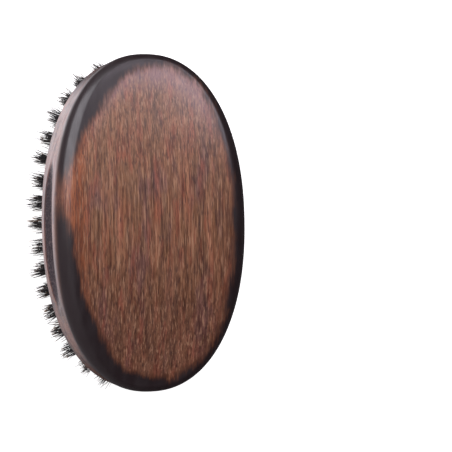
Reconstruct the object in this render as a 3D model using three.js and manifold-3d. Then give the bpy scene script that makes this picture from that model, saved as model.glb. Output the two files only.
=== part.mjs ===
// Oval palm brush for beards: one turned and routed hardwood block, drilled from below, with a tuft of boar
// bristle set in every hole. Lengths are in millimetres.
//
// Frame: the brush stands on its bristle tips. +Z points out of the wooden back and +X runs along the block.
// The origin lies in the plane of the tips, under the middle of the block.

import * as THREE from 'three';
import { mergeVertices } from 'three/addons/utils/BufferGeometryUtils.js';
import Module from 'manifold-3d';

const wasm = await Module();
wasm.setup();

// Driving dimensions of the block.
const BLOCK_LENGTH = 115;
const BLOCK_WIDTH = 67.5;
const BLOCK_HEIGHT = 23.6; // in the middle; the arched back makes the two ends thinner
const OUTLINE_POWER = 2.24; // 2 would be an ellipse, and more is squarer
const BACK_ARCH_RADIUS = 245; // of the back, along the block
const BACK_CROWN = 0.6; // how far the back falls from its middle line to the long sides
const SHOULDER_RADIUS_SIDE = 5.2; // where the back rolls over into the wall, on the long sides
const SHOULDER_RADIUS_END = 2.5; // and on the two ends
const EDGE_RADIUS = 3; // where the wall rolls under into the bristle face
const END_TAPER = 1; // how far the wall draws in towards the bristle face on the two ends

// The finger groove, a straight round-bottomed cut along each long side. Each is cut a little askew, which
// puts it nearer one end. The block is turned end for end between the cuts, so the ends are opposite ones.
const GROOVE_RADIUS = 5.8;
const GROOVE_DEPTH = 2.5;
const GROOVE_ABOVE_FACE = 10.5;
const GROOVE_SKEW = THREE.MathUtils.degToRad(2);

// Driving dimensions of the bristles.
const BRISTLE_LENGTH = 18.4; // from the bristle face to the tips, in the middle
const BORDER_INSET = 6.9; // from the block's outline to the centres of the border holes
const BORDER_TUFTS = 36;
const TUFT_PITCH = 7; // from hole to hole along an inner row
const ROW_SPACING = 6.5;
const CLEAR_OF_BORDER = 6.2; // least distance between an inner hole and a border hole, centre to centre
const HOLE_RADIUS = 2.3;
const HOLE_DEPTH = 9;
const HOLE_OVERRUN = 1; // how far outside the face the drill starts
const HOLE_CLEARANCE = 0.35; // between a tuft and its hole, at the side and at the bottom
const TIP_SPREAD = 3.1; // how far the border tufts lean outwards by their tips
const TIP_RADIUS = 3.1;
const TIP_RADIUS_ALONG_ROW = 3.9; // over half the pitch of the tips, so that a row's tips run together
const MID_SWELL = 0.35; // share of the tuft's widening that is reached half way down
const FLAT_TIPS_HALF_LENGTH = 20; // the tips stay level this far from the middle
const TIP_RISE = 2.4; // and are this much higher at the two ends

// How finely the surfaces are divided.
const OUTLINE_STEPS = 72;
const EDGE_STEPS = 3;
const SHOULDER_STEPS = 4;
const BACK_STEPS = 4;
const HOLE_SIDES = 8;
const GROOVE_SIDES = 40;
const WELD_DISTANCE = 1e-4;

// Worked out from the driving dimensions.
const HALF_LENGTH = BLOCK_LENGTH / 2;
const HALF_WIDTH = BLOCK_WIDTH / 2;
const FACE_HEIGHT = BRISTLE_LENGTH; // of the bristle face over the tips
const BACK_HEIGHT = FACE_HEIGHT + BLOCK_HEIGHT;
const TUFT_RADIUS = HOLE_RADIUS - HOLE_CLEARANCE;
const BORDER_HALF_LENGTH = HALF_LENGTH - BORDER_INSET;
const BORDER_HALF_WIDTH = HALF_WIDTH - BORDER_INSET;
const QUARTER_TURN = Math.PI / 2;

const wood = new THREE.MeshStandardMaterial({ color: 0x6b4632, roughness: 0.35, metalness: 0 });
const bristle = new THREE.MeshStandardMaterial({ color: 0x1b1614, roughness: 0.55, metalness: 0 });

const brush = new THREE.Group();

// ---------------------------------------------------------------------------------------------- solids

/** A closed three.js geometry as a solid that can be joined and cut. */
function solidFrom(geometry) {
  const bare = geometry.clone();
  bare.deleteAttribute('normal');
  bare.deleteAttribute('uv');
  const welded = mergeVertices(bare, WELD_DISTANCE);
  const corners = welded.index.array;
  const kept = [];
  for (let i = 0; i < corners.length; i += 3) {
    const [a, b, c] = corners.slice(i, i + 3);
    if (a !== b && b !== c && c !== a) kept.push(a, b, c); // a pole of the grid leaves flat triangles
  }
  return new wasm.Manifold(new wasm.Mesh({
    numProp: 3,
    vertProperties: welded.attributes.position.array,
    triVerts: Uint32Array.from(kept),
  }));
}

/** Adds one finished piece to the brush. */
function addPiece(name, solid, material) {
  const { vertProperties, triVerts } = solid.getMesh();
  const geometry = new THREE.BufferGeometry();
  geometry.setAttribute('position', new THREE.BufferAttribute(vertProperties, 3));
  geometry.setIndex(new THREE.BufferAttribute(triVerts, 1));
  geometry.computeVertexNormals();
  const mesh = new THREE.Mesh(geometry, material);
  mesh.name = name;
  brush.add(mesh);
}

/**
 * An upright cylinder whose rings are moved to the given levels, listed from the top down.
 * Each level has its centre and its radii along X and Y.
 */
function leaningCylinder(levels) {
  const spans = levels.length - 1;
  const geometry = new THREE.CylinderGeometry(1, 1, 1, HOLE_SIDES, spans);
  geometry.rotateX(QUARTER_TURN);
  geometry.rotateZ(QUARTER_TURN); // puts a corner of the ring on the X axis
  const position = geometry.attributes.position;
  for (let i = 0; i < position.count; i += 1) {
    const { centre, radiusX, radiusY } = levels[Math.round((0.5 - position.getZ(i)) * spans)];
    const x = centre.x + radiusX * position.getX(i);
    const y = centre.y + radiusY * position.getY(i);
    position.setXYZ(i, x, y, centre.z);
  }
  return solidFrom(geometry);
}

// ----------------------------------------------------------------------------------------------- block

/** A point of the oval outline, moved inwards at right angles to it. */
function outlinePoint(turn, inset) {
  const c = Math.cos(turn);
  const s = Math.sin(turn);
  const power = 2 / OUTLINE_POWER;
  const point = new THREE.Vector2(
    HALF_LENGTH * Math.sign(c) * Math.abs(c) ** power,
    HALF_WIDTH * Math.sign(s) * Math.abs(s) ** power,
  );
  const outwards = new THREE.Vector2(
    Math.sign(c) * Math.abs(c) ** (2 - power) / HALF_LENGTH,
    Math.sign(s) * Math.abs(s) ** (2 - power) / HALF_WIDTH,
  ).normalize();
  return point.addScaledVector(outwards, -inset);
}

/** Height of the arched back over a point of the plan. */
function backHeight(x, y) {
  const arch = BACK_ARCH_RADIUS - Math.sqrt(BACK_ARCH_RADIUS ** 2 - x ** 2);
  return BACK_HEIGHT - arch - BACK_CROWN * (y / HALF_WIDTH) ** 2;
}

/**
 * Half of a section through the block: from the middle of the bristle face out to the lower edge,
 * up the wall, over the shoulder and in to the middle of the back.
 */
function blockSection(turn) {
  const endness = Math.cos(turn) ** 2;
  const shoulder = THREE.MathUtils.lerp(SHOULDER_RADIUS_SIDE, SHOULDER_RADIUS_END, endness);
  const section = [new THREE.Vector3(0, 0, FACE_HEIGHT)];
  const put = (plan, z) => section.push(new THREE.Vector3(plan.x, plan.y, z));

  const taper = END_TAPER * endness;
  for (let i = 0; i <= EDGE_STEPS; i += 1) {
    const roll = QUARTER_TURN * i / EDGE_STEPS;
    const inset = taper + EDGE_RADIUS * (1 - Math.sin(roll));
    put(outlinePoint(turn, inset), FACE_HEIGHT + EDGE_RADIUS * (1 - Math.cos(roll)));
  }

  const rim = outlinePoint(turn, shoulder);
  const rimHeight = backHeight(rim.x, rim.y);
  for (let i = 0; i <= SHOULDER_STEPS; i += 1) {
    const roll = QUARTER_TURN * i / SHOULDER_STEPS;
    const inset = shoulder * (1 - Math.cos(roll));
    put(outlinePoint(turn, inset), rimHeight - shoulder * (1 - Math.sin(roll)));
  }

  for (let i = BACK_STEPS - 1; i >= 0; i -= 1) {
    const plan = rim.clone().multiplyScalar(i / BACK_STEPS);
    put(plan, backHeight(plan.x, plan.y));
  }
  return section;
}

/** The block before it is routed and drilled: a lathe's grid, with its sections bent to the oval. */
function blankBlock() {
  const profile = blockSection(0).map((p) => new THREE.Vector2(p.x, p.z));
  const geometry = new THREE.LatheGeometry(profile, OUTLINE_STEPS);
  for (let i = 0; i <= OUTLINE_STEPS; i += 1) {
    const turn = 2 * Math.PI * (i % OUTLINE_STEPS) / OUTLINE_STEPS;
    blockSection(turn).forEach((p, j) => {
      geometry.attributes.position.setXYZ(i * profile.length + j, p.x, p.y, p.z);
    });
  }
  return solidFrom(geometry);
}

/** The round cutter that makes the finger groove on one long side. */
function grooveCutter(side) {
  const geometry = new THREE.CylinderGeometry(GROOVE_RADIUS, GROOVE_RADIUS, BLOCK_LENGTH, GROOVE_SIDES);
  geometry.rotateZ(QUARTER_TURN + GROOVE_SKEW);
  const y = side * (HALF_WIDTH - GROOVE_DEPTH + GROOVE_RADIUS);
  geometry.translate(0, y, FACE_HEIGHT + GROOVE_ABOVE_FACE);
  return solidFrom(geometry);
}

// --------------------------------------------------------------------------------------------- bristles

/** The point at height z on the axis of the tuft whose hole is at root, on the bristle face. */
function tuftAxis(root, z) {
  const down = (FACE_HEIGHT - z) / BRISTLE_LENGTH;
  const leanX = TIP_SPREAD * root.x / BORDER_HALF_LENGTH;
  const leanY = TIP_SPREAD * root.y / BORDER_HALF_WIDTH;
  return new THREE.Vector3(root.x + leanX * down, root.y + leanY * down, z);
}

/** Height of a tuft's cut tips: level in the middle of the brush, and a little higher towards its ends. */
function tipHeight(root) {
  const beyond = Math.max(0, Math.abs(root.x) - FLAT_TIPS_HALF_LENGTH);
  return TIP_RISE * (beyond / (BORDER_HALF_LENGTH - FLAT_TIPS_HALF_LENGTH)) ** 2;
}

/** The drilled hole for a tuft. */
function tuftHole(root) {
  const radii = { radiusX: HOLE_RADIUS, radiusY: HOLE_RADIUS };
  return leaningCylinder([
    { centre: tuftAxis(root, FACE_HEIGHT + HOLE_DEPTH), ...radii },
    { centre: tuftAxis(root, FACE_HEIGHT - HOLE_OVERRUN), ...radii },
  ]);
}

/** One tuft: held tight in its hole, and fanning out from the face to its cut tips. */
function tuft(root, tipRadiusX, tipRadiusY) {
  const tip = tipHeight(root);
  const held = { radiusX: TUFT_RADIUS, radiusY: TUFT_RADIUS };
  return leaningCylinder([
    { centre: tuftAxis(root, FACE_HEIGHT + HOLE_DEPTH - HOLE_CLEARANCE), ...held },
    { centre: tuftAxis(root, FACE_HEIGHT), ...held },
    {
      centre: tuftAxis(root, (FACE_HEIGHT + tip) / 2),
      radiusX: THREE.MathUtils.lerp(TUFT_RADIUS, tipRadiusX, MID_SWELL),
      radiusY: THREE.MathUtils.lerp(TUFT_RADIUS, tipRadiusY, MID_SWELL),
    },
    { centre: tuftAxis(root, tip), radiusX: tipRadiusX, radiusY: tipRadiusY },
  ]);
}

/** Hole centres spaced evenly round the border, starting at the +X end. */
function borderRoots() {
  const outline = [];
  for (let i = 0; i < OUTLINE_STEPS; i += 1) {
    const point = outlinePoint(2 * Math.PI * i / OUTLINE_STEPS, BORDER_INSET);
    outline.push(new THREE.Vector3(point.x, point.y, 0));
  }
  const curve = new THREE.CatmullRomCurve3(outline, true);
  return curve.getSpacedPoints(BORDER_TUFTS).slice(0, BORDER_TUFTS);
}

/** Hole centres of one straight row, counted from the middle row. Every other row is staggered. */
function rowRoots(row, borderHoles) {
  const y = row * ROW_SPACING;
  const shift = row % 2 === 0 ? 0 : TUFT_PITCH / 2;
  const reach = Math.ceil(HALF_LENGTH / TUFT_PITCH);
  const roots = [];
  for (let i = -reach; i <= reach; i += 1) {
    const root = new THREE.Vector3(i * TUFT_PITCH + shift, y, 0);
    const inside = Math.hypot(root.x / BORDER_HALF_LENGTH, root.y / BORDER_HALF_WIDTH) < 1;
    const clear = borderHoles.every((other) => root.distanceTo(other) >= CLEAR_OF_BORDER);
    if (inside && clear) roots.push(root);
  }
  return roots;
}

// --------------------------------------------------------------------------------------------- assembly

const border = borderRoots();
const outermostRow = Math.floor((BORDER_HALF_WIDTH - CLEAR_OF_BORDER) / ROW_SPACING);
const rows = [];
for (let row = -outermostRow; row <= outermostRow; row += 1) {
  rows.push(rowRoots(row, border));
}

let block = blankBlock();
for (const side of [-1, 1]) {
  block = block.subtract(grooveCutter(side));
}
for (const root of [...border, ...rows.flat()]) {
  block = block.subtract(tuftHole(root));
}
addPiece('wood_block', block, wood);

border.forEach((root, i) => {
  const number = String(i + 1).padStart(2, '0');
  addPiece(`border_tuft_${number}`, tuft(root, TIP_RADIUS, TIP_RADIUS), bristle);
});

rows.forEach((roots, i) => {
  const tufts = roots.map((root) => tuft(root, TIP_RADIUS_ALONG_ROW, TIP_RADIUS));
  addPiece(`bristle_row_${i + 1}`, tufts.reduce((joined, next) => joined.add(next)), bristle);
});

export default brush;
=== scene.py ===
# Looks of an oval palm brush for beards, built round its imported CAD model.
# The brush stands on its bristle tips: +Z points out of the wooden back and +X runs along the block.
# Lengths are in metres, as the frame's are. Names that end in _MM are in millimetres, and so are the places
# and distances inside the materials.

import math

import bmesh
import bpy
import numpy as np
from mathutils import Matrix, Vector
from mathutils.geometry import delaunay_2d_cdt


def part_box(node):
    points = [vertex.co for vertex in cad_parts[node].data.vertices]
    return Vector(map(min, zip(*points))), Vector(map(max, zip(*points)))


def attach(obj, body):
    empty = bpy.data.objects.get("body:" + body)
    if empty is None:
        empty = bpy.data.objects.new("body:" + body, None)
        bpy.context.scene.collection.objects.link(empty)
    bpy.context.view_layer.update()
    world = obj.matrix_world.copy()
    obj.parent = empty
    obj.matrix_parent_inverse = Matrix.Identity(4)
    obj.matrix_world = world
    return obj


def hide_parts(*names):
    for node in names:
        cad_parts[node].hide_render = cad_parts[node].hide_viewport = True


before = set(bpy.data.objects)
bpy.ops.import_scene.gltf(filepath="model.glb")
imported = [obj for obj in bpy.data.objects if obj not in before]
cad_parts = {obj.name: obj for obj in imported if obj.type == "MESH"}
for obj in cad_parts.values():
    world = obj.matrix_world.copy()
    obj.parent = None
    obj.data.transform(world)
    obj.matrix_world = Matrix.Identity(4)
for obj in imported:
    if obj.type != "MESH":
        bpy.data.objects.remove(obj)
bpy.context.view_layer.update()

MM = 0.001
QUARTER_TURN = math.pi / 2

# The block, as the CAD model has it.
BLOCK_LOW, BLOCK_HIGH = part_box("wood_block")
HALF_LENGTH = (BLOCK_HIGH.x - BLOCK_LOW.x) / 2
HALF_WIDTH = (BLOCK_HIGH.y - BLOCK_LOW.y) / 2
FACE_HEIGHT = BLOCK_LOW.z
BACK_HEIGHT = BLOCK_HIGH.z
OUTLINE_POWER = 2.24
BACK_ARCH_RADIUS = 245 * MM
BACK_CROWN = 0.6 * MM
SHOULDER_RADIUS_SIDE = 5.2 * MM
SHOULDER_RADIUS_END = 2.5 * MM
EDGE_RADIUS = 3 * MM
END_TAPER = 1 * MM
GROOVE_RADIUS = 5.8 * MM
GROOVE_DEPTH = 2.5 * MM
GROOVE_ABOVE_FACE = 10.5 * MM
GROOVE_SKEW = math.radians(2)
GROOVE_SOFTNESS = 0.35 * MM  # over which the groove's edge is sanded round
GROOVE_FINISH = (-0.2 * MM, 0.5 * MM)  # depths of cut between which the groove's dark finish sets in
HOLE_RADIUS = 2.3 * MM
HOLE_DEPTH = 9 * MM

# How finely the block is divided.
OUTLINE_STEPS = 480
EDGE_ROWS = 9
WALL_ROWS = 60
SHOULDER_ROWS = 12
BACK_ROWS = 26
HOLE_SIDES = 24
SHARP_ANGLE = math.radians(50)  # edges that bend more than this stay sharp

# The bristles. Each one is folded in two over its tuft's anchor, so it has two tips.
BRISTLES_PER_TUFT = 52
BRISTLE_THICKNESS = 0.29 * MM
BRISTLE_SIDES = 3
THICKNESS_SPREAD = (0.75, 1.15)  # least and most of the thickness that a hair has
TAPER_PLACES = (0, 0.125, 0.35, 1)  # from 0 at a tip to 1 at the fold
TAPER_SHARES = (0.30, 0.62, 0.9, 1)  # of the thickness, at those places
TUFT_RADIUS = 1.95 * MM
TIP_RADIUS = 3.2 * MM
TIP_FLARE = 2.9 * MM  # the furthest that a tip bends outwards
TIP_STRAY = 0.6 * MM  # how far a tip strays from its place
LOCKS_PER_HALF = 3
LOCK_REACH = 0.8  # where the locks gather, as a share of the tip radius
LOCK_PULL = (0.05, 0.5)  # how far a tip is drawn to its lock
RAGGED = 0.7 * MM  # how unevenly the tips end
LEAST_RISE = 0.05 * MM  # of any tip over the level at which the tuft is cut
SHORT_SHARE = 0.15  # of the hairs, which end up to SHORT_BY early
SHORT_BY = 3 * MM
BEND = 0.3 * MM  # of a hair on its way from its hole to its tip
FREE_STATIONS = (0.22, 0.48, 0.74, 0.92, 1.0)  # shares of the way from the bristle face to the tip
FAN_POWER = 1.15  # over 1, a tuft fans out late
SEED = 7

# The anchors: flat wires across the holes. Depths are measured from the bottom of the hole.
ANCHOR_DEPTH = 2.9 * MM
ANCHOR_HALF_THICKNESS = 0.2 * MM
ANCHOR_HALF_HEIGHT = 0.75 * MM
ANCHOR_BITE = 0.15 * MM  # how far its lower corners go into the wood
ANCHOR_SLANT = 0.3 * MM  # by which its upper edge is shorter at each end
ANCHOR_ROUNDING = 0.12 * MM
FOLD_DEPTH = 2.4 * MM  # where a bristle's two halves meet
FOLD_RISE = 0.5 * MM  # of the fold over that
FOLD_SQUEEZE = 0.75  # of the tuft's radius at the fold
SQUEEZED_OVER = 2 * MM  # how far over the bristle face the tuft starts to narrow to its fold


# ------------------------------------------------------------------------------------------------ meshes

def new_piece(name, verts, faces, material):
    """A mesh that rides on the brush's one body."""
    mesh = bpy.data.meshes.new(name)
    mesh.from_pydata(np.asarray(verts).tolist(), [], faces)
    mesh.materials.append(material)
    mesh.shade_smooth()
    piece = bpy.data.objects.new(name, mesh)
    bpy.context.scene.collection.objects.link(piece)
    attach(piece, "root")
    return piece


def add_values(piece, name, values):
    """One number for each vertex, for the piece's material to read."""
    layer = piece.data.attributes.new(name, "FLOAT", "POINT")
    layer.data.foreach_set("value", np.asarray(values, dtype=np.float32))


def smooth_step(value, low, high):
    share = np.clip((value - low) / (high - low), 0, 1)
    return share * share * (3 - 2 * share)


# ------------------------------------------------------------------------------------------------- tufts

class Tuft:
    """Where one tuft stands: its hole in the bristle face, its lean and the height of its cut tips."""

    def __init__(self, root, inner_end):
        self.root = root
        self.lean = (root - inner_end) / (inner_end.z - root.z)  # for each metre down
        self.tip_height = 0.0

    def at(self, height):
        """The point of the tuft's axis at a height."""
        return self.root + self.lean * (self.root.z - height)


def ring_centres(points, height):
    """Centres of the rings of vertices at one height, each ring clear of the next along X."""
    level = sorted({(round(p.x, 6), round(p.y, 6)) for p in points if abs(p.z - height) < 0.001 * MM})
    rings = [[level[0]]]
    for point in level[1:]:
        if point[0] - rings[-1][-1][0] > TUFT_RADIUS * 0.9:  # wider than any gap within a ring
            rings.append([])
        rings[-1].append(point)
    return [Vector((*np.mean(ring, axis=0), height)) for ring in rings]


def read_tufts(node):
    """The tufts that one CAD node stands for."""
    points = [v.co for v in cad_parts[node].data.vertices]
    top = max(p.z for p in points)
    tufts = []
    for inner_end, root in zip(ring_centres(points, top), ring_centres(points, FACE_HEIGHT)):
        tuft = Tuft(root, inner_end)
        middle_ring = [
            p.z for p in points
            if 0.3 < p.z / FACE_HEIGHT < 0.9 and (p - tuft.at(p.z)).length < TIP_RADIUS
        ]
        tuft.tip_height = 2 * min(middle_ring) - FACE_HEIGHT  # that ring is half way down to the tips
        tufts.append(tuft)
    return tufts


# ------------------------------------------------------------------------------------------------- block

def outline(turn, inset):
    """Points of the oval outline, moved inwards at right angles to it."""
    c, s = np.cos(turn), np.sin(turn)
    power = 2 / OUTLINE_POWER
    x = HALF_LENGTH * np.sign(c) * abs(c) ** power
    y = HALF_WIDTH * np.sign(s) * abs(s) ** power
    normal_x = np.sign(c) * abs(c) ** (2 - power) / HALF_LENGTH
    normal_y = np.sign(s) * abs(s) ** (2 - power) / HALF_WIDTH
    size = np.hypot(normal_x, normal_y)
    return x - inset * normal_x / size, y - inset * normal_y / size


def back_height(x, y):
    arch = BACK_ARCH_RADIUS - np.sqrt(BACK_ARCH_RADIUS ** 2 - x ** 2)
    return BACK_HEIGHT - arch - BACK_CROWN * (y / HALF_WIDTH) ** 2


def route_groove(x, y, z):
    """Cuts the finger groove into points of the wall.
    Returns the new y, and a share that goes from 0 on the wall to 1 in the groove."""
    centre_y = HALF_WIDTH - GROOVE_DEPTH + GROOVE_RADIUS + np.sign(y) * x * math.tan(GROOVE_SKEW)
    above = z - (FACE_HEIGHT + GROOVE_ABOVE_FACE)
    cutter = centre_y - np.sqrt(np.maximum(GROOVE_RADIUS ** 2 - above ** 2, 0))
    depth = abs(y) - cutter
    share = np.clip(0.5 + 0.5 * depth / GROOVE_SOFTNESS, 0, 1)
    cut = abs(y) + (cutter - abs(y)) * share - GROOVE_SOFTNESS * share * (1 - share)
    return np.sign(y) * cut, smooth_step(depth, *GROOVE_FINISH)


def block_rows():
    """Closed rows of points round the block, from the lower edge up to the middle of the back.
    Each row has x, y, z, how far inside the back's rim it is, and how far in the groove."""
    turn = np.linspace(0, 2 * math.pi, OUTLINE_STEPS, endpoint=False)
    endness = np.cos(turn) ** 2
    shoulder = SHOULDER_RADIUS_SIDE + (SHOULDER_RADIUS_END - SHOULDER_RADIUS_SIDE) * endness
    rim_x, rim_y = outline(turn, shoulder)
    rim_height = back_height(rim_x, rim_y)
    wall_top = rim_height - shoulder
    wall_foot = FACE_HEIGHT + EDGE_RADIUS
    no_groove = np.zeros_like(turn)
    taper = END_TAPER * endness
    rows = []
    for roll in np.linspace(0, QUARTER_TURN, EDGE_ROWS):
        x, y = outline(turn, taper + EDGE_RADIUS * (1 - math.sin(roll)))
        z = FACE_HEIGHT + EDGE_RADIUS * (1 - math.cos(roll))
        rows.append((x, y, z + no_groove, z - rim_height, no_groove))
    for share in np.linspace(0, 1, WALL_ROWS)[1:-1]:
        x, y = outline(turn, taper * (1 - share))
        z = wall_foot + (wall_top - wall_foot) * share
        y, in_groove = route_groove(x, y, z)
        rows.append((x, y, z, z - rim_height, in_groove))
    for roll in np.linspace(0, QUARTER_TURN, SHOULDER_ROWS):
        inset = shoulder * (1 - math.cos(roll))
        x, y = outline(turn, inset)
        z = rim_height - shoulder * (1 - math.sin(roll))
        rows.append((x, y, z, inset - shoulder, no_groove))
    for share in np.linspace(0, 1, BACK_ROWS)[1:-1]:
        x, y = rim_x * (1 - share), rim_y * (1 - share)
        rows.append((x, y, back_height(x, y), share * np.hypot(rim_x, rim_y), no_groove))
    return rows


def drilled_face(rim, tufts):
    """Triangles of the flat bristle face inside its rim, with a hole for every tuft.
    Returns the hole corners and the triangles, which count the rim's points first."""
    holes = []
    turns = np.arange(HOLE_SIDES) * 2 * math.pi / HOLE_SIDES
    for tuft in tufts:
        ring_x = tuft.root.x + HOLE_RADIUS * np.cos(turns)
        ring_y = tuft.root.y + HOLE_RADIUS * np.sin(turns)
        holes.append(np.stack([ring_x, ring_y], axis=1))
    points = np.concatenate([rim, *holes])
    edges = [(i, (i + 1) % len(rim)) for i in range(len(rim))]
    for k in range(len(tufts)):
        first = len(rim) + k * HOLE_SIDES
        edges += [(first + i, first + (i + 1) % HOLE_SIDES) for i in range(HOLE_SIDES)]
    _, _, cells, originals, _, _ = delaunay_2d_cdt([Vector(p) / MM for p in points], edges, [], 1, 1e-5)
    centres = np.array([(tuft.root.x, tuft.root.y) for tuft in tufts])
    triangles = []
    for cell in cells:
        corners = [originals[i][0] for i in cell]
        middle = points[corners].mean(axis=0)
        if np.hypot(*(centres - middle).T).min() > HOLE_RADIUS * 0.99:  # not over a hole
            triangles.append(corners)
    return holes, triangles


def face_all_outwards(mesh):
    """Turns the faces of a closed mesh so that all of them face outwards."""
    shape = bmesh.new()
    shape.from_mesh(mesh)
    bmesh.ops.recalc_face_normals(shape, faces=shape.faces)
    shape.to_mesh(mesh)
    shape.free()


def build_block(tufts, material):
    """The whole block as one closed skin: rolled edges, grooves, arched back and drilled holes."""
    rows = block_rows()
    n = OUTLINE_STEPS
    verts = [np.stack([x, y, z], axis=1) for x, y, z, _, _ in rows]
    rim_depth = [inside for _, _, _, inside, _ in rows]
    groove = [in_groove for _, _, _, _, in_groove in rows]

    # The outside: a band of faces between each row and the next, and a fan up to the middle of the back.
    faces = []
    for j in range(len(rows) - 1):
        for i in range(n):
            after = (i + 1) % n
            faces.append((j * n + i, j * n + after, (j + 1) * n + after, (j + 1) * n + i))
    crest = len(rows) * n
    verts.append(np.array([[0, 0, BACK_HEIGHT]]))
    faces += [(crest - n + i, crest - n + (i + 1) % n, crest) for i in range(n)]

    # The bristle face, inside the first row.
    holes, triangles = drilled_face(verts[0][:, :2], tufts)
    first_hole = crest + 1

    def block_vertex(i):
        """The number in the block of a vertex that the drilled face counts as i."""
        if i < n:
            return i
        hole, corner = divmod(i - n, HOLE_SIDES)
        return first_hole + hole * 2 * HOLE_SIDES + corner

    faces += [tuple(block_vertex(i) for i in triangle) for triangle in triangles]

    # The holes: the wall and the bottom of each.
    for k, (tuft, ring) in enumerate(zip(tufts, holes)):
        shift = tuft.at(FACE_HEIGHT + HOLE_DEPTH) - tuft.root
        mouth = np.column_stack([ring, np.full(HOLE_SIDES, FACE_HEIGHT)])
        verts += [mouth, mouth + np.array(shift)]
        first = first_hole + k * 2 * HOLE_SIDES
        for i in range(HOLE_SIDES):
            after = (i + 1) % HOLE_SIDES
            faces.append((first + i, first + after, first + HOLE_SIDES + after, first + HOLE_SIDES + i))
        faces.append(tuple(first + HOLE_SIDES + i for i in range(HOLE_SIDES)))

    verts = np.concatenate(verts)
    block = new_piece("oval_wood_block", verts, faces, material)
    after_rows = len(verts) - crest  # the middle of the back, and the holes
    rim_depth = np.concatenate([*rim_depth, np.full(after_rows, FACE_HEIGHT - BACK_HEIGHT)])
    rim_depth[crest] = HALF_WIDTH
    add_values(block, "rim_mm", rim_depth / MM)
    add_values(block, "groove", np.concatenate([*groove, np.zeros(after_rows)]))
    face_all_outwards(block.data)
    block.data.set_sharp_from_angle(angle=SHARP_ANGLE)
    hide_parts("wood_block")


# ---------------------------------------------------------------------------------------------- bristles

def unit(vectors):
    return vectors / np.linalg.norm(vectors, axis=-1, keepdims=True)


def hair_tips(tuft, side, count, random):
    """Each hair's place in its half of the tuft, as shares of the tuft's radius, and the place of its tip.
    The tips part into locks, stray a little, bend out from the middle of the brush and end raggedly."""
    reach = np.sqrt(random.uniform(0, 1, count))
    angle = random.uniform(0, math.pi, count)
    across = np.stack([reach * np.cos(angle), side * reach * np.sin(angle)], axis=1)
    lock_angle = random.uniform(0, 2 * math.pi, LOCKS_PER_HALF)
    lock = LOCK_REACH * np.stack([np.cos(lock_angle), np.sin(lock_angle)], axis=1)
    chosen = random.integers(0, LOCKS_PER_HALF, count)
    pull = random.uniform(*LOCK_PULL, (count, 1))
    tip = (across * (1 - pull) + lock[chosen] * pull) * TIP_RADIUS
    tip += random.normal(0, TIP_STRAY, (count, 2))
    outwards = unit(np.array(tuft.root)[:2])
    tip += outwards * (TIP_FLARE * random.uniform(0, 1, (count, 1)) ** 2)
    rise = abs(random.normal(0, RAGGED, count)) + LEAST_RISE
    rise += (random.uniform(0, 1, count) < SHORT_SHARE) * random.uniform(0, SHORT_BY, count)
    return across, np.column_stack([tip, tuft.tip_height + rise])


def bristle_half(tuft, side, count, random):
    """Paths of one half of each folded bristle, from the anchor down to the tip: (count, points, 3).
    side is -1 or 1, the side of the anchor that it comes down."""
    across, tip = hair_tips(tuft, side, count, random)
    bend = random.normal(0, BEND, (count, 2))
    held_stations = (
        (FACE_HEIGHT + HOLE_DEPTH - FOLD_DEPTH, FOLD_SQUEEZE),
        (FACE_HEIGHT + SQUEEZED_OVER, 1.0),
        (FACE_HEIGHT, 1.0),
    )
    path = []
    for height, squeeze in held_stations:
        centre = np.array(tuft.at(height))[:2]
        path.append(np.column_stack([centre + across * squeeze * TUFT_RADIUS, np.full(count, height)]))
    root = np.array(tuft.root)[:2]
    lean = np.array(tuft.lean)[:2]
    for share in FREE_STATIONS:
        z = FACE_HEIGHT + (tip[:, 2:] - FACE_HEIGHT) * share
        opening = share ** FAN_POWER
        held = across * TUFT_RADIUS * (1 - opening)
        fanned = tip[:, :2] * opening
        bowed = bend * math.sin(share * math.pi)
        plan = root + lean * (FACE_HEIGHT - z) + held + fanned + bowed
        path.append(np.column_stack([plan, z]))
    return np.stack(path, axis=1)


def build_bristles(name, tufts, node, material, random):
    """All bristles of one CAD node as closed, tapered hairs, folded in the middle."""
    count = BRISTLES_PER_TUFT
    paths = []
    for tuft in tufts:
        left = bristle_half(tuft, -1, count, random)
        right = bristle_half(tuft, 1, count, random)
        fold = (left[:, 0] + right[:, 0]) / 2
        fold[:, 2] += FOLD_RISE
        paths.append(np.concatenate([left[:, ::-1], fold[:, None], right], axis=1))
    paths = np.concatenate(paths)
    total, stations, _ = paths.shape

    # side and other are the two directions across each hair.
    along = np.empty_like(paths)
    along[:, 1:-1] = paths[:, 2:] - paths[:, :-2]
    along[:, 0] = paths[:, 1] - paths[:, 0]
    along[:, -1] = paths[:, -1] - paths[:, -2]
    along = unit(along)
    side = unit(np.array([1.0, 0, 0]) - along * along[..., :1])
    other = np.cross(along, side)

    half = stations // 2
    from_tip = np.concatenate([np.arange(half + 1), np.arange(half)[::-1]]) / half
    taper = np.interp(from_tip, TAPER_PLACES, TAPER_SHARES)
    thickness = BRISTLE_THICKNESS * random.uniform(*THICKNESS_SPREAD, total)
    radius = (thickness[:, None] * taper[None, :] / 2)[..., None]
    corners = []
    for k in range(BRISTLE_SIDES):
        turn = 2 * math.pi * k / BRISTLE_SIDES
        corners.append(paths + radius * (side * math.cos(turn) + other * math.sin(turn)))
    verts = np.stack(corners, axis=2).reshape(-1, 3)

    faces = []
    sides = BRISTLE_SIDES
    for b in range(total):
        first = b * stations * sides
        last = first + (stations - 1) * sides
        for low in range(first, last, sides):
            for k in range(sides):
                after = (k + 1) % sides
                faces.append((low + k, low + after, low + sides + after, low + sides + k))
        faces.append(tuple(first + k for k in reversed(range(sides))))
        faces.append(tuple(last + k for k in range(sides)))

    piece = new_piece(name, verts, faces, material)
    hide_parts(node)
    add_values(piece, "from_tip", np.repeat(np.tile(from_tip, total), sides))
    add_values(piece, "shade", np.repeat(random.uniform(0, 1, total), stations * sides))


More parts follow.
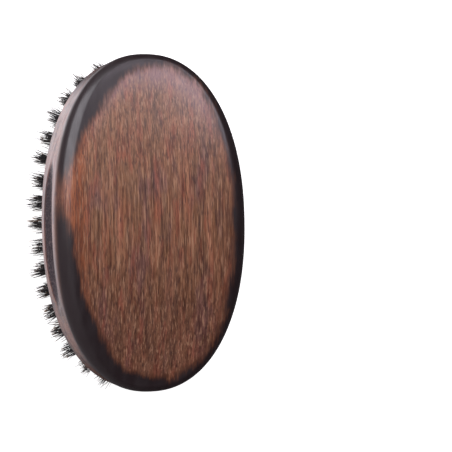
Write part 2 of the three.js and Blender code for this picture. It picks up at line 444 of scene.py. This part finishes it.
def build_anchors(name, tufts, material):
    """The flat wires over which the bristles are folded, each driven across the bottom of its hole."""
    half_length = HOLE_RADIUS + ANCHOR_BITE
    height = FACE_HEIGHT + HOLE_DEPTH - ANCHOR_DEPTH
    verts, faces = [], []
    for tuft in tufts:
        centre = tuft.at(height)
        first = len(verts)
        for sx in (-1, 1):
            for sy in (-1, 1):
                for sz in (-1, 1):
                    x = centre.x + sx * (half_length - (ANCHOR_SLANT if sz > 0 else 0))
                    y = centre.y + sy * ANCHOR_HALF_THICKNESS
                    verts.append((x, y, centre.z + sz * ANCHOR_HALF_HEIGHT))
        for corner in ((0, 1, 3, 2), (4, 6, 7, 5), (0, 4, 5, 1), (2, 3, 7, 6), (0, 2, 6, 4), (1, 5, 7, 3)):
            faces.append(tuple(first + i for i in corner))
    piece = new_piece(name, verts, faces, material)
    soften = piece.modifiers.new("rounded_wire", "BEVEL")
    soften.width = ANCHOR_ROUNDING
    soften.segments = 2


# ---------------------------------------------------------------------------------------------- materials

def srgb(red, green, blue):
    """A colour given as 0 to 255, as shader nodes want it."""
    shares = [c / 255 for c in (red, green, blue)]
    return (*[s / 12.92 if s <= 0.04045 else ((s + 0.055) / 1.055) ** 2.4 for s in shares], 1.0)


def add_node(tree, kind, inputs=None, **settings):
    """A shader node. inputs maps a socket to a value or to another node's output."""
    node = tree.nodes.new(kind)
    for name, value in settings.items():
        setattr(node, name, value)
    for key, value in (inputs or {}).items():
        if isinstance(value, bpy.types.NodeSocket):
            tree.links.new(value, node.inputs[key])
        else:
            node.inputs[key].default_value = value
    return node


def new_material(name):
    """A material, its node tree and its one shader."""
    material = bpy.data.materials.new(name)
    material.use_nodes = True
    tree = material.node_tree
    tree.nodes.clear()
    shader = add_node(tree, "ShaderNodeBsdfPrincipled")
    output = add_node(tree, "ShaderNodeOutputMaterial")
    tree.links.new(shader.outputs[0], output.inputs[0])
    return material, tree, shader


def position_mm(tree):
    """The point's place on the object, in millimetres."""
    place = add_node(tree, "ShaderNodeTexCoord").outputs["Object"]
    return add_node(tree, "ShaderNodeVectorMath", {0: place, 3: 1 / MM}, operation="SCALE").outputs[0]


def axes_of(tree, place):
    """The three numbers of a place."""
    return add_node(tree, "ShaderNodeSeparateXYZ", {0: place}).outputs[:3]


def noise(tree, place, stretch, detail=3.0, roughness=0.55, distortion=0.0, shift=0.0):
    """Noise from 0 to 1, with features about 1 / stretch millimetres long each way. shift picks which."""
    scaled = add_node(
        tree, "ShaderNodeVectorMath",
        {0: place, 1: stretch, 2: (shift, shift, shift)}, operation="MULTIPLY_ADD",
    ).outputs[0]
    return add_node(tree, "ShaderNodeTexNoise", {
        "Vector": scaled, "Scale": 1.0, "Detail": detail, "Roughness": roughness, "Distortion": distortion,
    }).outputs["Fac"]


def between(tree, value, low, high, start=0.0, end=1.0):
    """Goes smoothly from start to end as value goes from low to high, and stays level outside them."""
    return add_node(
        tree, "ShaderNodeMapRange",
        {"Value": value, "From Min": low, "From Max": high, "To Min": start, "To Max": end},
        interpolation_type="SMOOTHSTEP",
    ).outputs[0]


def product(tree, a, b):
    return add_node(tree, "ShaderNodeMath", {0: a, 1: b}, operation="MULTIPLY").outputs[0]


def summed(tree, values):
    """The sum of several node outputs."""
    result = values[0]
    for value in values[1:]:
        result = add_node(tree, "ShaderNodeMath", {0: result, 1: value}, operation="ADD").outputs[0]
    return result


def bump_between(tree, value, rise, top, fall):
    """Goes from 0 up to 1 between rise and top, and back to 0 at fall."""
    return product(tree, between(tree, value, rise, top), between(tree, value, fall, top))


def attribute(tree, name):
    """One of the numbers that add_values gave to the piece."""
    return add_node(tree, "ShaderNodeAttribute", attribute_name=name).outputs["Fac"]


def mixed(tree, share, a, b, how="MIX"):
    """The colour a, with a share of b mixed into it."""
    # In the colour form of this node, the sockets A, B and Result are numbers 6, 7 and 2.
    node = add_node(tree, "ShaderNodeMix", {0: share, 6: a, 7: b}, data_type="RGBA", blend_type=how)
    return node.outputs[2]


def ramp(tree, value, stops):
    """A colour for each value, from (value, colour) stops."""
    node = add_node(tree, "ShaderNodeValToRGB", {0: value})
    elements = node.color_ramp.elements
    while len(elements) < len(stops):
        elements.new(0.5)
    for element, (place, colour) in zip(elements, stops):
        element.position = place
        element.color = colour
    return node.outputs[0]


def back_grain(tree, place):
    """Straight-grained brown wood, with soft red and mauve bands."""
    streaks = noise(tree, place, (0.05, 0.30, 0.20), detail=3, distortion=0.2)
    colour = ramp(tree, streaks, [
        (0.32, srgb(140, 97, 70)),
        (0.45, srgb(162, 115, 82)),
        (0.56, srgb(176, 123, 90)),
        (0.70, srgb(188, 125, 94)),
    ])
    mauve = noise(tree, place, (0.04, 0.14, 0.05), detail=3, shift=40)
    colour = mixed(tree, between(tree, mauve, 0.52, 0.66, 0, 0.62), colour, srgb(132, 92, 94))
    red = noise(tree, place, (0.06, 0.32, 0.05), detail=3, shift=57)
    return mixed(tree, between(tree, red, 0.50, 0.66, 0, 0.55), colour, srgb(188, 104, 80))


def with_dashes(tree, place, colour):
    """The colour under the grain's fine dashes: dark flecks, darker bands, pale fibres and open pores."""
    flecks = noise(tree, place, (0.13, 1.9, 1.9), detail=3, roughness=0.7, shift=9)
    colour = mixed(tree, 1.0, colour, ramp(tree, flecks, [
        (0.32, srgb(150, 138, 128)),
        (0.46, srgb(214, 210, 204)),
        (0.60, srgb(250, 250, 248)),
    ]), "MULTIPLY")
    bands = noise(tree, place, (0.03, 1.0, 1.0), detail=2, shift=95)
    colour = mixed(tree, 1.0, colour, ramp(tree, bands, [
        (0.36, srgb(192, 180, 176)),
        (0.50, srgb(234, 230, 228)),
        (0.64, srgb(255, 255, 255)),
    ]), "MULTIPLY")
    pale = noise(tree, place, (0.11, 2.4, 2.4), detail=2, shift=71)
    colour = mixed(tree, between(tree, pale, 0.52, 0.68, 0, 0.45), colour, srgb(206, 158, 124))
    pores = noise(tree, place, (0.28, 2.5, 2.5), detail=1, shift=83)
    return mixed(tree, between(tree, pores, 0.57, 0.68, 0, 0.7), colour, srgb(74, 44, 36))


def back_colour(tree, place, rim):
    """The brown back: amber beside its rim on the -Y side, with painted shade that darkens it towards +X,
    and a painted sheen near the rim at the -X end.
    """
    x, y, _ = axes_of(tree, place)
    amber = product(tree, between(tree, rim, 7, 1.5), between(tree, y, -8, -18, 0.1, 0.8))
    colour = mixed(tree, amber, back_grain(tree, place), srgb(190, 104, 56))
    # Painted shade: the back's colour is made darker towards +X, where the key lamp lights it less.
    colour = mixed(tree, between(tree, x, -15, 48, 0, 0.46), colour, srgb(112, 68, 62))
    colour = with_dashes(tree, place, colour)
    # Painted sheen: a pale lavender haze mixed into the colour near the rim at the -X end, standing in for
    # a lamp's reflection on the lacquer.
    painted_sheen = product(tree, between(tree, rim, 13, 3), between(tree, x, -24, -50, 0, 0.38))
    return mixed(tree, painted_sheen, colour, srgb(176, 150, 158))


def wall_colour(tree, place):
    """Blotchy red-brown side, with a fine golden grain in places, and dark stains."""
    blotches = noise(tree, place, (0.06, 0.14, 0.14), detail=4, roughness=0.6, shift=17)
    colour = ramp(tree, blotches, [
        (0.34, srgb(42, 26, 32)),
        (0.46, srgb(74, 42, 42)),
        (0.60, srgb(104, 58, 50)),
    ])
    areas = noise(tree, place, (0.05, 0.07, 0.09), shift=23)
    flecks = noise(tree, place, (0.8, 2.4, 2.4), detail=3, roughness=0.7, shift=5)
    golden = product(tree, between(tree, flecks, 0.46, 0.62), between(tree, areas, 0.40, 0.60, 0.12, 0.65))
    colour = mixed(tree, golden, colour, srgb(160, 120, 88))
    stains = noise(tree, place, (0.16, 0.22, 0.22), detail=3, shift=61)
    return mixed(tree, between(tree, stains, 0.54, 0.66, 0, 0.75), colour, srgb(48, 34, 42))


def groove_finish(tree, place):
    """A matt dark finish with pale specks."""
    specks = noise(tree, place, (1.2, 2.4, 2.4), detail=2, roughness=0.7, shift=29)
    return ramp(tree, specks, [
        (0.36, srgb(38, 28, 33)),
        (0.52, srgb(56, 44, 50)),
        (0.66, srgb(92, 76, 78)),
    ])


def scorch(tree, place, rim):
    """How burnt the wood is, from 0 to 1. The burn covers the shoulder, and reaches unevenly over the back.
    The parts of its reach are in millimetres, and those below 0 draw it back towards the shoulder."""
    x, y, _ = axes_of(tree, place)
    wobble = noise(tree, place, (0.05, 0.09, 0.09), detail=2, shift=31)
    ragged = noise(tree, place, (0.12, 1.1, 1.1), detail=2, shift=13)
    plus_x_end = between(tree, x, 30, 54, 0, 1.2)
    minus_x_end = between(tree, x, -42, -55, 0, 1.1)
    plus_y_side = between(tree, y, -4, 16, 0, -1.3)
    plus_x_corner = product(tree, between(tree, x, 8, 44), between(tree, y, -2, -19, 0, 3.8))
    minus_x_corner = product(tree, between(tree, x, -27, -43), between(tree, y, -5, -16, 0, 3.8))
    bare_patch = product(tree, between(tree, y, -16, -30, 0, -5.4), bump_between(tree, x, -26, -10, 6))
    reach = summed(tree, [
        between(tree, wobble, 0.3, 0.7, -1.4, 1.0),
        between(tree, ragged, 0.3, 0.7, -0.7, 0.7),
        plus_x_end,
        minus_x_end,
        plus_y_side,
        plus_x_corner,
        minus_x_corner,
        bare_patch,
    ])
    inside = summed(tree, [rim, product(tree, reach, -1)])
    return product(tree, between(tree, inside, 5.5, -2.5), between(tree, rim, -6.2, -3.7))


def wood_material():
    """Stained, scorched and lacquered hardwood, with a matt dark finish in the grooves, and painted shade
    and sheen on its back.
    """
    material, tree, shader = new_material("lacquered_hardwood")
    place = position_mm(tree)
    rim = attribute(tree, "rim_mm")  # above 0 on the back, and below 0 on the shoulder and the wall
    groove = attribute(tree, "groove")  # from 0 outside the grooves to 1 inside them

    colour = back_colour(tree, place, rim)
    colour = mixed(tree, between(tree, rim, -1, -5), colour, wall_colour(tree, place))
    burnt = scorch(tree, place, rim)
    colour = mixed(tree, between(tree, burnt, 0.0, 0.6, 0, 0.8), colour, srgb(92, 52, 32))
    colour = mixed(tree, between(tree, burnt, 0.25, 0.85), colour, srgb(32, 19, 22))
    colour = mixed(tree, groove, colour, groove_finish(tree, place))

    polish = noise(tree, place, (0.1, 0.4, 0.4), detail=2, shift=3)
    roughness = summed(tree, [
        between(tree, polish, 0.3, 0.7, 0.30, 0.48),
        product(tree, groove, 0.25),
        product(tree, burnt, 0.08),
    ])
    grain = noise(tree, place, (0.25, 3.2, 3.2), detail=3, shift=9)
    bump = add_node(tree, "ShaderNodeBump", {"Strength": 0.5, "Distance": 0.04 * MM, "Height": grain})
    tree.links.new(colour, shader.inputs["Base Color"])
    tree.links.new(roughness, shader.inputs["Roughness"])
    tree.links.new(bump.outputs[0], shader.inputs["Normal"])
    shader.inputs["Coat Weight"].default_value = 0.7
    shader.inputs["Coat Roughness"].default_value = 0.2
    return material


def bristle_material():
    """Black boar hair with brown, sun-bleached tips. A few hairs are brown or blond all along."""
    material, tree, shader = new_material("boar_bristle_hair")
    from_tip = attribute(tree, "from_tip")  # from 0 at a tip to 1 at the fold
    shade = attribute(tree, "shade")  # a number from 0 to 1 for each hair
    whole = ramp(tree, shade, [
        (0.0, srgb(12, 10, 14)),
        (0.6, srgb(16, 12, 15)),
        (0.93, srgb(24, 17, 18)),
        (0.965, srgb(52, 34, 27)),
        (0.988, srgb(110, 86, 66)),
        (0.994, srgb(214, 202, 184)),
    ])
    tip = ramp(tree, shade, [
        (0.0, srgb(18, 13, 16)),
        (0.45, srgb(28, 19, 19)),
        (0.68, srgb(70, 46, 34)),
        (0.86, srgb(146, 108, 74)),
        (0.97, srgb(190, 156, 116)),
        (0.994, srgb(222, 212, 196)),
    ])
    colour = mixed(tree, between(tree, from_tip, 0.26, 0.04), whole, tip)
    scales = noise(tree, position_mm(tree), (6, 6, 2), detail=1)
    tree.links.new(colour, shader.inputs["Base Color"])
    tree.links.new(between(tree, scales, 0.3, 0.7, 0.32, 0.5), shader.inputs["Roughness"])
    return material


def wire_material():
    """Brass wire with fine marks along it, from the die that it was drawn through."""
    material, tree, shader = new_material("drawn_brass_wire")
    marks = noise(tree, position_mm(tree), (0.8, 9, 9), detail=2)
    colour = ramp(tree, marks, [(0.3, srgb(168, 138, 78)), (0.7, srgb(204, 176, 108))])
    tree.links.new(colour, shader.inputs["Base Color"])
    tree.links.new(between(tree, marks, 0.3, 0.7, 0.25, 0.42), shader.inputs["Roughness"])
    shader.inputs["Metallic"].default_value = 1.0
    return material


# -------------------------------------------------------------------------------------------------- stage

VIEW_LEAN = math.radians(18.5)  # from straight above the back, towards the -Y side
VIEW_ROLL = math.radians(0.87)
VIEW_DISTANCE = 1.1
VIEW_LENS_MM = 250
AIM_ACROSS = 37.4 * MM  # from the brush to the middle of the picture, which lies to its right
AIM_ALONG = 1.5 * MM
KEY_ROLL = math.radians(27)  # lays the key lamp's reflection along the -Y shoulder
FLOOR_HALF_WIDTH = 3
BACKDROP_RADIUS = 2.9
BACKDROP_LEVELS = (-0.01, 2.9)
BACKDROP_SIDES = 64


def add_camera():
    """A long lens over the back. -X is up in the picture, and the brush stands in its left half."""
    ahead = Vector((0, math.sin(VIEW_LEAN), -math.cos(VIEW_LEAN)))
    up = Vector((-1, 0, 0))
    right = ahead.cross(up)
    place = right * AIM_ACROSS - up * AIM_ALONG - ahead * VIEW_DISTANCE
    turn = Matrix.Rotation(VIEW_ROLL, 3, ahead)
    axes = Matrix((turn @ right, turn @ up, -ahead)).transposed()
    data = bpy.data.cameras.new("camera")
    data.lens = VIEW_LENS_MM
    data.sensor_width = 36
    data.clip_start = 0.05
    data.clip_end = 20
    camera = bpy.data.objects.new("camera", data)
    camera.matrix_world = Matrix.Translation(place) @ axes.to_4x4()
    bpy.context.scene.collection.objects.link(camera)
    bpy.context.scene.camera = camera


def add_soft_light(name, place, width, height, power, colour, roll=0.0):
    """A flat lamp that faces the middle of the brush, rolled about its own beam."""
    data = bpy.data.lights.new(name, "AREA")
    data.shape = "RECTANGLE"
    data.size = width
    data.size_y = height
    data.energy = power
    data.color = colour
    lamp = bpy.data.objects.new(name, data)
    lamp.location = place
    middle = Vector((0, 0, BACK_HEIGHT / 2))
    facing = (middle - lamp.location).to_track_quat("-Z", "Y").to_matrix()
    lamp.rotation_euler = (facing @ Matrix.Rotation(roll, 3, "Z")).to_euler()
    bpy.context.scene.collection.objects.link(lamp)


def add_lamps():
    """A tall key lamp for the sheen on the -Y shoulder, and a small weak lamp over the -X, +Y corner."""
    add_soft_light(
        "key", place=(-0.51, -0.48, 0.81), width=0.7, height=1.4, power=10.8,
        colour=(0.96, 0.93, 1.0), roll=KEY_ROLL,
    )
    add_soft_light(
        "haze", place=(-0.44, 0.50, 0.92), width=0.35, height=0.35, power=1.5,
        colour=(0.98, 0.88, 1.0),
    )


def ground_material():
    """Pale paint that gives off light of its own, for an even white ground."""
    material, _, shader = new_material("floor_paint")
    shader.inputs["Base Color"].default_value = (0.86, 0.86, 0.86, 1)
    shader.inputs["Roughness"].default_value = 0.9
    shader.inputs["Emission Color"].default_value = (1, 1, 1, 1)
    shader.inputs["Emission Strength"].default_value = 1.0
    return material


def new_ground(name, verts, faces, material):
    """Part of the white ground. The lacquer mirrors the studio's own lower half in its place."""
    mesh = bpy.data.meshes.new(name)
    mesh.from_pydata(verts, [], faces)
    mesh.materials.append(material)
    ground = bpy.data.objects.new(name, mesh)
    ground.visible_glossy = False
    bpy.context.scene.collection.objects.link(ground)
    return ground


def add_floor(material):
    half = FLOOR_HALF_WIDTH
    corners = [(-half, -half, 0), (half, -half, 0), (half, half, 0), (-half, half, 0)]
    new_ground("floor", corners, [(0, 1, 2, 3)], material)


def add_backdrop(material):
    """A wide ring that only the camera sees, so that level views have a white ground too."""
    sides = BACKDROP_SIDES
    turns = [2 * math.pi * i / sides for i in range(sides)]
    ring = [(BACKDROP_RADIUS * math.cos(turn), BACKDROP_RADIUS * math.sin(turn)) for turn in turns]
    verts = [(x, y, z) for z in BACKDROP_LEVELS for x, y in ring]
    faces = [(i, (i + 1) % sides, sides + (i + 1) % sides, sides + i) for i in range(sides)]
    backdrop = new_ground("backdrop", verts, faces, material)
    backdrop.visible_diffuse = False
    backdrop.visible_shadow = False


def add_surroundings():
    """A dim studio, brighter on its -Y side. The floor hides its lower half from all but reflections.
    That half is bright only steeply below the horizon on the -Y side, and dims towards +X."""
    world = bpy.data.worlds.new("studio")
    world.use_nodes = True
    tree = world.node_tree
    background = tree.nodes["Background"]
    direction = add_node(tree, "ShaderNodeTexCoord").outputs["Generated"]
    x, y, height = axes_of(tree, direction)
    below = product(tree, between(tree, y, 0.10, -0.02), between(tree, x, -0.10, 0.30, 1.25, 0.2))
    above = between(tree, y, 0.4, -0.4, 0.06, 0.26)
    light = add_node(tree, "ShaderNodeMix", {0: between(tree, height, -0.55, -0.90), 2: above, 3: below})
    tree.links.new(light.outputs[0], background.inputs["Strength"])
    background.inputs["Color"].default_value = (1.0, 0.93, 0.98, 1)
    bpy.context.scene.world = world
    bpy.context.scene.view_settings.view_transform = "Standard"


# ------------------------------------------------------------------------------------------------- making

def build_brush():
    """The bristles and anchors of every CAD tuft or row, and the block with a hole for every tuft."""
    wood = wood_material()
    bristle = bristle_material()
    wire = wire_material()
    random = np.random.default_rng(SEED)
    all_tufts = []
    for node in sorted(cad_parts):
        if node == "wood_block":
            continue
        tufts = read_tufts(node)
        all_tufts += tufts
        build_bristles(f"{node}_bristles", tufts, node, bristle, random)
        build_anchors(f"{node}_anchors" if len(tufts) > 1 else f"{node}_anchor", tufts, wire)
    build_block(all_tufts, wood)


def build_studio():
    add_camera()
    add_surroundings()
    ground = ground_material()
    add_floor(ground)
    add_backdrop(ground)
    add_lamps()


build_studio()
build_brush()
